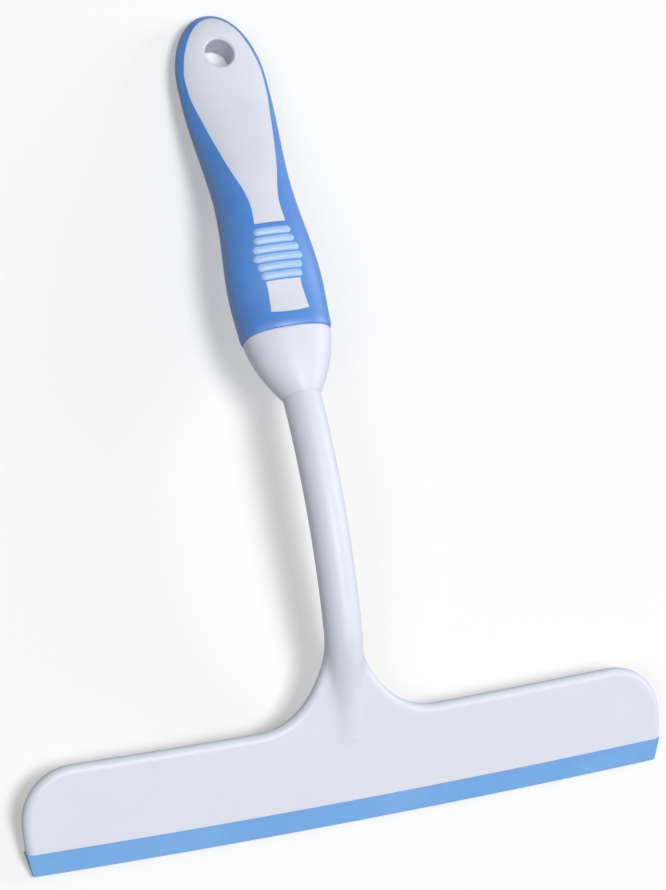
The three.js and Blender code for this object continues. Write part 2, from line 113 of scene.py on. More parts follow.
# Shaft
SHAFT_ROOT_RADIUS = 7
SHAFT_RADIUS = 7.15
ROOT_Y = 64.6
ROOT_Z = -0.3
ROOT_ANGLE = math.radians(2.3)
ARCH_LENGTH = 96.5
ARCH_RADIUS = ARCH_LENGTH / (HANDLE_ANGLE - ROOT_ANGLE)
SHAFT_FILLET = 3
TONGUE_LENGTH = 32
TONGUE_SINK = 8.4
TONGUE_EASE = 8
TONGUE_FALL = 1.6
FLOOR_FALL = 100

# Handle
LENGTH = 132
RING_HALF, BELLY_HALF, WAIST_HALF, SWELL_HALF = 17.4, 18.1, 15.1, 17.5
RING_FRONT, BELLY_FRONT, WAIST_FRONT, EYE_FRONT = 12, 11, 11, 6.6
RING_BACK, BELLY_BACK, WAIST_BACK, EYE_BACK = 13.5, 14, 12.3, 5.8
BELLY_SWAY, EYE_SWAY = 2.2, -1
BELLY, WAIST, SWELL, EYE = 0.13, 0.43, 0.74, 0.86
TIP_EDGE = 29
TIP_ROUND = 13
SQUARENESS = 2.3
SLEEVE = 1.9
SHELL_WALL = 2.4
COLLAR_LENGTH = 24.5
COLLAR_STEP = 0.8
COLLAR_FULLNESS = 1.75
COLLAR_ROUND = 0.8
COLLAR_GAP = 0.09
SPIGOT_LENGTH = 9
SPIGOT_HALF, SPIGOT_DEPTH = 11, 8
SLEEVE_ROUND = 0.4
CAVITY_LOW, CAVITY_HIGH = 6, 96
TANG_WAY_END, TANG_WAY_HALF, TANG_WAY_DEPTH = 10, 6.3, 3.5
HANDLE_RINGS = 150
FIELD_MARGIN = 2.6
PANEL_FOOT = 40.2
# The panel's half width at stations along the handle, until the handle's edge limits it.
PANEL_SIDE = [(40, 6.2), (47.5, 5.5), (54.5, 6.6), (63, 9.1), (72, 11), (80, 12.5),
              (97, 15.4)]
PANEL_EASE = 3
PANEL_EDGE = 1.8
PANEL_HEAD_START, PANEL_HEAD_RUN = 105, 20
RIB_COUNT = 6
RIB_PITCH = 3.4
RIB_HEIGHT = 4.4
RIB_PROUD = 0.62
TOP_RIB = 36.9
RIB_HALVES = (7.6, 9.8, 8.3)
MID_RIB_SHARE = 0.6
ABOVE_HANDLE = 60.0
WINDOW_FOOT, WINDOW_HEAD = 6, 17.8
WINDOW_FOOT_HALF, WINDOW_HEAD_HALF = 7.5, 7.1
WINDOW_WAIST = 0.5
WINDOW_BOW = 0.8
WINDOW_FOOT_SPAN = 0.95
EYE_STATION = 114
EYE_RADIUS = 5.6
EYE_WALL = 2.4
EYE_FLARE = 1.3
FLARE_PAST = 0.5

# The seats' clearance, the hairline left between shown pieces, how far a cutting body
# reaches past what it cuts, and the fineness of the head's skin and of round bores.
SEAT_GAP = 0.3
CLOSE_GAP = 0.05
CUT_PAST = 4
THROUGH = 25
HALF_SPACE = 400
ROUGH_FOOT = BLADE_SHOWING - 4
SKIN_STEP = 0.8
ROUND_SIDES = 96
SHAFT_END = ARCH_LENGTH + COLLAR_LENGTH - SPIGOT_LENGTH - SEAT_GAP


def clamp(value, low, high):
    return np.minimum(np.maximum(value, low), high)


def between(low, high, share):
    return low + (high - low) * share


def square(half):
    return [(-half, -half), (half, -half), (half, half), (-half, half)]


# Mesh making


def piece_of(name, points, faces):
    mesh = bpy.data.meshes.new(name)
    mesh.from_pydata([tuple(p) for p in points], [], faces)
    mesh.update()
    made = bpy.data.objects.new(name, mesh)
    bpy.context.scene.collection.objects.link(made)
    return made


def tube(name, rings):
    """A closed body from rings of points, each ring the same number of points."""
    count = len(rings[0])
    points = np.concatenate(rings)
    faces = [tuple(range(count))[::-1]]
    for i in range(len(rings) - 1):
        low, high = i * count, (i + 1) * count
        for j in range(count):
            k = (j + 1) % count
            faces.append((low + j, low + k, high + k, high + j))
    last = (len(rings) - 1) * count
    faces.append(tuple(range(last, last + count)))
    return outward(piece_of(name, points, faces))


def outward(made):
    """Turns the faces outwards, by the sign of the volume that they close."""
    mesh = made.data
    mesh.calc_loop_triangles()
    place = np.array([v.co for v in mesh.vertices], float)
    corners = np.array([t.vertices for t in mesh.loop_triangles])
    a, b, c = place[corners[:, 0]], place[corners[:, 1]], place[corners[:, 2]]
    if np.einsum("ij,ij->i", a, np.cross(b, c)).sum() < 0:
        mesh.flip_normals()
    return made


def prism(name, outline, low, high):
    """A plane outline run straight up along z."""
    outline = np.asarray(outline, float)
    rings = [np.column_stack([outline, np.full(len(outline), z)]) for z in (low, high)]
    return tube(name, rings)


def along_head(name, section, half, steps=60, half_at=None):
    """A section of (height, depth) points run along the head with its bow."""
    section = np.asarray(section, float)
    reach = half_at(section[:, 0]) if half_at else np.full(len(section), float(half))
    rings = []
    for share in np.linspace(-1, 1, steps + 1):
        x = share * reach
        rings.append(np.column_stack([x, section[:, 0] + bow_at(x), section[:, 1]]))
    return tube(name, rings)


def plain_mesh(made):
    """Turns what the modifiers make into the object's own mesh."""
    graph = bpy.context.evaluated_depsgraph_get()
    fresh = bpy.data.meshes.new_from_object(made.evaluated_get(graph))
    made.modifiers.clear()
    old = made.data
    made.data = fresh
    fresh.name = made.name
    bpy.data.meshes.remove(old)
    return made


def combine(made, other, operation):
    """Joins to, cuts from or meets with another body, which is used up."""
    step = made.modifiers.new("combine", "BOOLEAN")
    step.operation = operation
    step.solver = "MANIFOLD"
    step.object = other
    plain_mesh(made)
    mesh = other.data
    bpy.data.objects.remove(other)
    bpy.data.meshes.remove(mesh)
    return made


def placed(made, place, sharp_angle=32):
    """Moves a finished piece from its own frame to the row frame, in metres."""
    made.data.transform(Matrix.Scale(MM, 4) @ place)
    low, high = np.array(cad_low), np.array(cad_high)
    flat = np.zeros(len(made.data.vertices) * 3)
    made.data.vertices.foreach_get("co", flat)
    inside = clamp(flat.reshape(-1, 3), low, high)
    made.data.vertices.foreach_set("co", inside.ravel())
    made.data.shade_smooth()
    made.data.set_sharp_from_angle(angle=math.radians(sharp_angle))
    made.data.update()
    return made


# Head forms


def bow_at(x):
    return BOW * (x / HEAD_HALF) ** 2


def plate_side():
    """Right half of the plate's outline, from below its foot up to the neck."""
    heights = np.linspace(ROUGH_FOOT, WIDEST, 12)
    share = (WIDEST - heights) / (WIDEST - BLADE_SHOWING)
    side = np.column_stack([HEAD_HALF - (HEAD_HALF - FOOT_HALF) * share ** 2, heights])
    turn = np.linspace(0, math.pi / 2, 24)
    corner = np.column_stack([HEAD_HALF - CORNER + CORNER * np.cos(turn),
                              PLATE_TOP - CORNER + CORNER * np.sin(turn)])
    start = np.array([SHAFT_ROOT_RADIUS + FILLET_RUN, PLATE_TOP])
    pull = np.array([SHAFT_ROOT_RADIUS + FILLET_PULL, PLATE_TOP])
    stop = np.array([SHAFT_ROOT_RADIUS, PLATE_TOP + FILLET_RISE])
    t = np.linspace(0, 1, 28)[:, None]
    fillet = start * (1 - t) ** 2 + 2 * pull * t * (1 - t) + stop * t ** 2
    neck = [[SHAFT_ROOT_RADIUS * NECK_TUCK, PLATE_TOP + FILLET_RISE + NECK_OVERLAP]]
    return np.concatenate([side, corner, fillet, neck])


def side_distance(x, y, side):
    """Signed distance to the plate's outline in its own plane, negative inside."""
    x = np.abs(x)
    shortest = np.full(x.shape, 1e9)
    inside = np.zeros(x.shape, bool)
    ends = np.concatenate([[[0, side[0][1]]], side, [[0, side[-1][1]]]])
    for (ax, ay), (bx, by) in zip(ends[:-1], ends[1:]):
        ex, ey = bx - ax, by - ay
        t = clamp(((x - ax) * ex + (y - ay) * ey) / (ex * ex + ey * ey + 1e-12), 0, 1)
        shortest = np.minimum(shortest, np.hypot(x - ax - t * ex, y - ay - t * ey))
        crosses = (ay > y) != (by > y)
        cross_x = ax + (y - ay) / (ey if abs(ey) > 1e-12 else 1e-12) * ex
        inside ^= crosses & (x < cross_x)
    return np.where(inside, -shortest, shortest)


# The outline's distance is kept on a grid, because the skin asks for it many times.
GRID_STEP = 0.5
GRID_REACH, GRID_LOW, GRID_HIGH = 136, -4, 90
grid_x, grid_y = np.meshgrid(np.arange(0, GRID_REACH, GRID_STEP),
                             np.arange(GRID_LOW, GRID_HIGH, GRID_STEP), indexing="ij")
outline_grid = side_distance(grid_x, grid_y, plate_side())


def outline_distance(x, y):
    """The kept outline's distance, read between the grid's points."""
    u = clamp(np.abs(x) / GRID_STEP, 0, outline_grid.shape[0] - 1.001)
    v = clamp((y - GRID_LOW) / GRID_STEP, 0, outline_grid.shape[1] - 1.001)
    i, j = u.astype(int), v.astype(int)
    du, dv = u - i, v - j
    low = outline_grid[i, j] * (1 - du) + outline_grid[i + 1, j] * du
    high = outline_grid[i, j + 1] * (1 - du) + outline_grid[i + 1, j + 1] * du
    return low * (1 - dv) + high * dv


def rounded(first, second, radius):
    """Distance to a body bounded by two distances, its edges rounded."""
    first, second = first + radius, second + radius
    out = np.hypot(np.maximum(first, 0), np.maximum(second, 0))
    return out + np.minimum(np.maximum(first, second), 0) - radius


def melted(first, second, width):
    """Two bodies run together with a fillet about that wide."""
    share = np.maximum(width - np.abs(first - second), 0) / width
    return np.minimum(first, second) - share ** 3 * width / 6


def along_spine(y, z):
    """Distance along the shaft from its root, and how far out of its middle."""
    root = np.array([ROOT_Y, ROOT_Z])
    ahead = np.array([math.cos(ROOT_ANGLE), -math.sin(ROOT_ANGLE)])
    up = np.array([math.sin(ROOT_ANGLE), math.cos(ROOT_ANGLE)])
    centre = root - ARCH_RADIUS * up
    vy, vz = y - centre[0], z - centre[1]
    angle = np.arctan2(vy, vz)
    bent = (angle - ROOT_ANGLE) * ARCH_RADIUS
    bent_out = np.hypot(vy, vz) - ARCH_RADIUS
    low = (y - root[0]) * ahead[0] + (z - root[1]) * ahead[1]
    low_out = (y - root[0]) * up[0] + (z - root[1]) * up[1]
    end_up = np.array([math.sin(HANDLE_ANGLE), math.cos(HANDLE_ANGLE)])
    end_ahead = np.array([math.cos(HANDLE_ANGLE), -math.sin(HANDLE_ANGLE)])
    end = centre + ARCH_RADIUS * end_up
    high = (y - end[0]) * end_ahead[0] + (z - end[1]) * end_ahead[1]
    high_out = (y - end[0]) * end_up[0] + (z - end[1]) * end_up[1]
    distance = np.where(bent < 0, low, np.where(bent > ARCH_LENGTH, ARCH_LENGTH + high, bent))
    out = np.where(bent < 0, low_out, np.where(bent > ARCH_LENGTH, high_out, bent_out))
    return distance, out


def spine_point(distance, out):
    on_arch = min(max(distance, 0), ARCH_LENGTH)
    straight = distance - on_arch
    angle = ROOT_ANGLE + on_arch / ARCH_RADIUS
    y = ROOT_Y + ARCH_RADIUS * (math.sin(angle) - math.sin(ROOT_ANGLE))
    z = ROOT_Z - ARCH_RADIUS * (math.cos(ROOT_ANGLE) - math.cos(angle))
    y += straight * math.cos(angle) + out * math.sin(angle)
    z += -straight * math.sin(angle) + out * math.cos(angle)
    return y, z


def tongue_sink(distance):
    """How far the tongue has sunk below the shaft's line, eased over the shaft's root."""
    near = np.asarray(distance)[..., None] + np.linspace(-TONGUE_EASE, TONGUE_EASE, 9)
    risen = np.mean(clamp(1 + near / TONGUE_LENGTH, 0, 1) ** TONGUE_FALL, axis=-1)
    return TONGUE_SINK * (1 - risen)


def shaft_section(distance):
    """Radius of the shaft, how far its tongue sinks, and the level of the tongue's back."""
    grown = clamp(1 + distance / TONGUE_LENGTH, 0, 1)
    radius = between(SHAFT_ROOT_RADIUS, SHAFT_RADIUS, clamp(distance / ARCH_LENGTH, 0, 1))
    root_floor = ROOT_Z - SHAFT_ROOT_RADIUS - tongue_sink(0)
    floor = between(-PLATE_THICKNESS / 2, root_floor, grown)
    # Past its root the shaft is round all over, so its floor falls away.
    floor = floor - FLOOR_FALL * np.maximum(distance, 0)
    return radius, tongue_sink(distance), floor


def shaft_distance(x, y, z):
    distance, out = along_spine(y, z)
    radius, sink, floor = shaft_section(distance)
    around = np.hypot(x, out + sink) - radius
    ends = np.maximum(-TONGUE_LENGTH - distance, distance - SHAFT_END)
    return np.maximum(np.maximum(around, ends), floor - z)


def head_distance(points):
    x, y, z = points[:, 0], points[:, 1], points[:, 2]
    flat_y = y - bow_at(x)
    middle = PLATE_THICKNESS / 2
    plate = rounded(outline_distance(x, flat_y), np.abs(z + middle) - middle, EDGE_ROUND)
    across = np.abs(x) - HOUSING_HALF
    tall = np.abs(flat_y - (ROUGH_FOOT + HOUSING_TOP) / 2) - (HOUSING_TOP - ROUGH_FOOT) / 2
    deep = np.abs(z + (HOUSING_DEPTH + middle) / 2) - (HOUSING_DEPTH - middle) / 2
    housing = rounded(np.maximum(across, tall), deep, HOUSING_ROUND)
    body = melted(plate, housing, HOUSING_FILLET)
    return melted(body, shaft_distance(x, y, z), SHAFT_FILLET)


def settle(made, distance, rounds=4, step=0.02, drift_share=0.5, least_slope=0.05):
    """Spreads a remeshed body's vertices evenly and lays them on an exact form."""
    mesh = made.data
    place = np.zeros(len(mesh.vertices) * 3)
    mesh.vertices.foreach_get("co", place)
    place = place.reshape(-1, 3)
    ends = np.zeros(len(mesh.edges) * 2, np.int64)
    mesh.edges.foreach_get("vertices", ends)
    ends = ends.reshape(-1, 2)
    count = np.bincount(ends.ravel(), minlength=len(place))[:, None]
    for _ in range(rounds):
        near = np.zeros_like(place)
        np.add.at(near, ends[:, 0], place[ends[:, 1]])
        np.add.at(near, ends[:, 1], place[ends[:, 0]])
        drift = near / np.maximum(count, 1) - place
        for again in range(2):
            here = distance(place)
            slope = np.column_stack([
                distance(place + np.eye(3)[axis] * step) - here for axis in range(3)]) / step
            steep = np.maximum((slope ** 2).sum(1), least_slope)[:, None]
            if again == 0:
                drift -= slope * ((drift * slope).sum(1)[:, None] / steep)
                place = place + drift_share * drift
                here = distance(place)
            move = here[:, None] * slope / steep
            size = np.linalg.norm(move, axis=1)[:, None]
            place = place - move * np.minimum(1, 1 / np.maximum(size, 1e-9))
    mesh.vertices.foreach_set("co", place.ravel())
    mesh.update()
    return made


def half_thickness(height):
    """Half of the rubber's thickness, thin at the wiping edge."""
    return between(BLADE_EDGE_THICKNESS, BLADE_THICKNESS, height / BLADE_SHOWING) / 2


def rectangle(low, high, back, front):
    return [(low, back), (high, back), (high, front), (low, front)]


def web_section(gap):
    return rectangle(BLADE_SHOWING - WEB_OVERLAP - gap, WEB_TOP + gap,
                     BLADE_MID - WEB_THICKNESS / 2 - gap, BLADE_MID + WEB_THICKNESS / 2 + gap)


def bead_section(gap):
    return rectangle(WEB_TOP - BEAD_HEIGHT - gap, WEB_TOP + gap,
                     BLADE_MID - WEB_THICKNESS / 2 - BEAD_DEPTH - gap,
                     BLADE_MID + WEB_THICKNESS / 2 + gap)


def head_moulding():
    """Plate, housing, tongue and shaft in one skin, with the rubber's channel cut in."""
    side = plate_side()
    outline = np.concatenate([side, (side * (-1, 1))[::-1]])
    # A rough body from overlapping prisms and a tube, then one even skin over all of it.
    plate = prism("head_moulding", outline, -PLATE_THICKNESS, 0)
    plate.data.vertices.foreach_set("co", np.array(
        [(v.co.x, v.co.y + bow_at(v.co.x), v.co.z) for v in plate.data.vertices]).ravel())
    housing = along_head("housing", rectangle(ROUGH_FOOT, HOUSING_TOP, -HOUSING_DEPTH,
                                              -PLATE_THICKNESS / 2), HOUSING_HALF)
    rings = []
    turn = np.linspace(0, 2 * math.pi, 48, endpoint=False)
    for distance in np.linspace(-TONGUE_LENGTH, SHAFT_END, 90):
        radius, sink, floor = shaft_section(distance)
        ring = [(radius * math.sin(a), *spine_point(distance, radius * math.cos(a) - sink))
                for a in turn]
        rings.append(np.array([(x, y, max(z, floor)) for x, y, z in ring], float))
    shaft = tube("shaft", rings)
    combine(plate, housing, "UNION")
    combine(plate, shaft, "UNION")
    skin = plate.modifiers.new("skin", "REMESH")
    skin.mode = "VOXEL"
    skin.voxel_size = SKIN_STEP
    plain_mesh(plate)
    settle(plate, head_distance)
    below = rectangle(-THROUGH, BLADE_SHOWING, -THROUGH, THROUGH)
    combine(plate, along_head("below", below, HEAD_HALF + THROUGH), "DIFFERENCE")
    gap = SEAT_GAP
    strip = rectangle(ROUGH_FOOT, STRIP_TOP + gap, -HOUSING_DEPTH - CUT_PAST,
                      STRIP_FRONT + gap)
    for section in (web_section(gap), bead_section(gap), strip):
        combine(plate, along_head("channel", section, CHANNEL_HALF + gap), "DIFFERENCE")
    for i in range(PEG_COUNT):
        reach = CHANNEL_HALF - PEG_MARGIN
        x = between(-reach, reach, i / (PEG_COUNT - 1))
        peg = [(x + (PEG_RADIUS + gap) * math.cos(a),
                STRIP_TOP - PEG_BELOW_TOP + bow_at(x) + (PEG_RADIUS + gap) * math.sin(a))
               for a in np.linspace(0, 2 * math.pi, 24, endpoint=False)]
        hole = prism("peg_hole", peg, -HOUSING_DEPTH, STRIP_FRONT + PEG_LENGTH + gap)
        combine(plate, hole, "DIFFERENCE")
    return plate


def rubber_blade():
    """The whole rubber: a wedge below the head, and the web and bead inside it."""
    top = BLADE_SHOWING - CLOSE_GAP
    size = BLADE_EDGE_ROUND
    edge = BLADE_MID + BLADE_EDGE_THICKNESS / 2 - size
    front = [(size - size * math.cos(a), edge + size * math.sin(a))
             for a in np.linspace(0, math.pi / 2, 5)]
    rise = [(h, BLADE_MID + half_thickness(h)) for h in np.linspace(BLADE_RISE_FROM, top, 16)]
    section = front + rise
    section += [(h, 2 * BLADE_MID - z) for h, z in reversed(section)]

    def reach(height):
        return between(BLADE_EDGE_HALF, FOOT_HALF, np.minimum(height / BLADE_SHOWING, 1))

    blade = along_head("rubber_blade", section, FOOT_HALF, BLADE_STEPS, reach)
    combine(blade, along_head("web", web_section(0), CHANNEL_HALF, BLADE_STEPS), "UNION")
    combine(blade, along_head("bead", bead_section(0), CHANNEL_HALF, BLADE_STEPS), "UNION")
    return blade


# Handle forms


def eased(stations, share):
    """Runs softly from one (place, size) pair to the next."""
    result = np.full(np.shape(share), float(stations[0][1]))
    for (start, low), (stop, high) in zip(stations[:-1], stations[1:]):
        t = clamp((share - start) / (stop - start), 0, 1)
        t = t * t * (3 - 2 * t)
        result = np.where(share > start, between(low, high, t), result)
    return result


def tip_rounding(station, length, run):
    share = clamp((station - length + run) / run, 0, 1)
    return np.sqrt(1 - share ** 2)


def handle_half_width(station, inset=0.0):
    size = eased([(0, RING_HALF), (BELLY, BELLY_HALF), (WAIST, WAIST_HALF),
                  (SWELL, SWELL_HALF)], station / LENGTH) - inset
    return size * tip_rounding(station, LENGTH - inset, TIP_EDGE)


def handle_section(station, inset):
    """Half width, front, back and sway of the handle's form at a station."""
    share = station / LENGTH
    rounding = tip_rounding(station, LENGTH - inset, TIP_ROUND)
    front = (eased([(0, RING_FRONT), (BELLY, BELLY_FRONT), (WAIST, WAIST_FRONT),
                    (EYE, EYE_FRONT)], share) - inset) * rounding
    back = (eased([(0, RING_BACK), (BELLY, BELLY_BACK), (WAIST, WAIST_BACK),
                   (EYE, EYE_BACK)], share) - inset) * rounding
    sway = eased([(0, 0), ((BELLY + WAIST) / 2, BELLY_SWAY), (SWELL, EYE_SWAY)], share)
    return handle_half_width(station, inset), front, back, sway


def squared(value, squareness=SQUARENESS):
    size = np.where(np.abs(value) < 1e-9, 0, np.abs(value)) ** (2 / squareness)
    return np.sign(value) * size


def section_ring(half, front, back, sway, station, sides=144, squareness=SQUARENESS):
    turn = np.linspace(0, 2 * math.pi, sides, endpoint=False)
    across = half * squared(np.sin(turn), squareness)
    lift = np.where(np.cos(turn) > 0, front, back) * squared(np.cos(turn), squareness)
    return np.column_stack([across, np.full(sides, station), sway + lift])


def handle_form(name, inset, low=0.0, high=None, end_round=0.0):
    """The handle's form some way in from its outside, with its lower edge rounded."""
    top = (LENGTH - inset) * 0.99995 if high is None else high
    made = []
    for t in np.linspace(0, 1, HANDLE_RINGS):
        station = between(low, top, math.sin(t * math.pi / 2))
        extra = 0.0
        if end_round and station < end_round:
            extra = end_round - math.sqrt(end_round ** 2 - (end_round - station) ** 2)
        half, front, back, sway = handle_section(station, inset)
        made.append(section_ring(half - extra, front - extra, back - extra, sway, station))
    return tube(name, made)


def bar(name, low, high, half, depth, squareness=8, sides=64):
    rings = [section_ring(half, depth, depth, 0, station, sides, squareness)
             for station in (low, high)]
    return tube(name, rings)


def eye_post(name, radius):
    """A round post through the handle at the hang hole."""
    turn = np.linspace(0, 2 * math.pi, ROUND_SIDES, endpoint=False)
    circle = np.column_stack([radius * np.cos(turn), EYE_STATION + radius * np.sin(turn)])
    return prism(name, circle, -THROUGH, THROUGH)


def mirrored(right):
    right = np.asarray(right, float)
    return np.concatenate([right, (right * (-1, 1))[::-1]])


def panel_outline(grow):
    """The long upper field: narrow above the ribs, then as wide as the handle allows."""
    foot, head = PANEL_FOOT - grow, LENGTH - FIELD_MARGIN + grow
    right = []
    for t in np.linspace(0, 1, 100, endpoint=False):
        station = foot + (head - foot) * math.sin(t * math.pi / 2)
        near = station + np.linspace(-PANEL_EASE, PANEL_EASE, 9)
        taper = float(np.mean(np.interp(near, *np.array(PANEL_SIDE).T)))
        past = clamp((station - PANEL_HEAD_START) / PANEL_HEAD_RUN, 0, 1)
        edge = between(PANEL_EDGE, FIELD_MARGIN, past)
        widest = float(handle_half_width(station, edge - grow))
        right.append((min(taper + grow, widest), station))
    return mirrored(right)


def window_outline(grow):
    start = np.array([WINDOW_FOOT_HALF + grow, WINDOW_FOOT - grow])
    pull = np.array([WINDOW_HEAD_HALF - 2 * WINDOW_WAIST + grow, WINDOW_HEAD - grow])
    stop = np.array([WINDOW_HEAD_HALF + grow, WINDOW_HEAD + grow])
    t = np.linspace(0, 1, 24)[:, None]
    side = start * (1 - t) ** 2 + 2 * pull * t * (1 - t) + stop * t ** 2
    x = np.linspace(-WINDOW_FOOT_SPAN, WINDOW_FOOT_SPAN, 15) * start[0]
    foot = np.column_stack([x, start[1] - WINDOW_BOW * (1 - (x / start[0]) ** 2)])
    return np.concatenate([mirrored(side), foot])


def grip_cover():
    """The soft sleeve, open over the white fields and the hang hole."""
    cover = handle_form("grip_cover", 0, end_round=SLEEVE_ROUND)
    combine(cover, handle_form("inside", SLEEVE, low=-CUT_PAST), "DIFFERENCE")
    for outline in (panel_outline(0), window_outline(0)):
        combine(cover, prism("opening", outline, 0, THROUGH), "DIFFERENCE")
    return combine(cover, eye_post("hole", EYE_RADIUS + EYE_WALL + CLOSE_GAP), "DIFFERENCE")


def front_moulding():
    """The front shell with its raised panel, lower field and lined hang hole."""
    inset = SLEEVE + SEAT_GAP
    core = handle_form("front_moulding", inset)
    combine(core, bar("spigot", -SPIGOT_LENGTH, SHELL_WALL, SPIGOT_HALF, SPIGOT_DEPTH,
                      SQUARENESS), "UNION")
    for outline in (panel_outline(-CLOSE_GAP), window_outline(-CLOSE_GAP)):
        pad = prism("pad", outline, 0, THROUGH)
        combine(pad, handle_form("outside", 0), "INTERSECT")
        combine(core, pad, "UNION")
    combine(core, handle_form("cavity", inset + SHELL_WALL, CAVITY_LOW, CAVITY_HIGH),
            "DIFFERENCE")
    combine(core, bar("tang_way", -SPIGOT_LENGTH - CUT_PAST, TANG_WAY_END, TANG_WAY_HALF,
                      TANG_WAY_DEPTH), "DIFFERENCE")
    half = prism("front_half", square(HALF_SPACE), SEAT_GAP / 2, HALF_SPACE)
    combine(core, half, "INTERSECT")
    lining = eye_post("lining", EYE_RADIUS + EYE_WALL)
    combine(lining, handle_form("outside", 0), "INTERSECT")
    combine(core, lining, "UNION")
    return combine(core, eye_cutter(), "DIFFERENCE")


def eye_cutter():
    """The hang hole with a rounded flare at both rims."""
    turn = np.linspace(0, 2 * math.pi, ROUND_SIDES, endpoint=False)
    front = EYE_SWAY + EYE_FRONT + FLARE_PAST
    back = EYE_SWAY - EYE_BACK - FLARE_PAST
    levels = [(-THROUGH, EYE_FLARE), (back, EYE_FLARE)]
    quarter = np.linspace(0, math.pi / 2, 9)
    for a in quarter:
        levels.append((back + EYE_FLARE * math.sin(a), EYE_FLARE * (1 - math.sin(a))))
    for a in quarter:
        levels.append((front - EYE_FLARE * math.cos(a), EYE_FLARE * (1 - math.cos(a))))
    levels.append((THROUGH, EYE_FLARE))
    rings = []
    for level, extra in levels:
        size = EYE_RADIUS + extra
        rings.append(np.column_stack([size * np.cos(turn), EYE_STATION + size * np.sin(turn),
                                      np.full(ROUND_SIDES, float(level))]))
    return tube("eye", rings)


def neck_bulb():
    """The bulb between shaft and grip, bored for the shaft and the shells' spigot."""
    rings = []
    for t in np.linspace(0, 1, 60):
        down = COLLAR_LENGTH * (1 - t)
        share = 1 - (1 - t) ** COLLAR_FULLNESS
        edge = max(0.0, COLLAR_ROUND - down)
        soft = COLLAR_ROUND - math.sqrt(max(0.0, COLLAR_ROUND ** 2 - edge ** 2))

        def size(ring_size):
            return SHAFT_RADIUS + (ring_size - COLLAR_STEP - SHAFT_RADIUS) * share - soft / 2

        squareness = between(2, SQUARENESS, t)
        rings.append(section_ring(size(RING_HALF), size(RING_FRONT), size(RING_BACK), 0,
                                  -down - COLLAR_GAP * t, squareness=squareness))
    bulb = tube("neck_bulb", rings)
    bore = SHAFT_RADIUS + CLOSE_GAP
    combine(bulb, bar("bore", -COLLAR_LENGTH - CUT_PAST, CUT_PAST, bore, bore, 2, ROUND_SIDES),
            "DIFFERENCE")
    return combine(bulb, bar("spigot_way", -SPIGOT_LENGTH - SEAT_GAP, CUT_PAST,
                             SPIGOT_HALF + SEAT_GAP, SPIGOT_DEPTH + SEAT_GAP, SQUARENESS),
                   "DIFFERENCE")


# Thumb ribs by Geometry Nodes


def add(tree, kind, values=None, links=None, **settings):
    """Adds a node with its settings, its fixed input values and its links."""
    node = tree.nodes.new(kind)
    for key, value in settings.items():
        setattr(node, key, value)
    for key, value in (values or {}).items():
        node.inputs[key].default_value = value
    for key, source in (links or {}).items():
        tree.links.new(source, node.inputs[key])
    return node


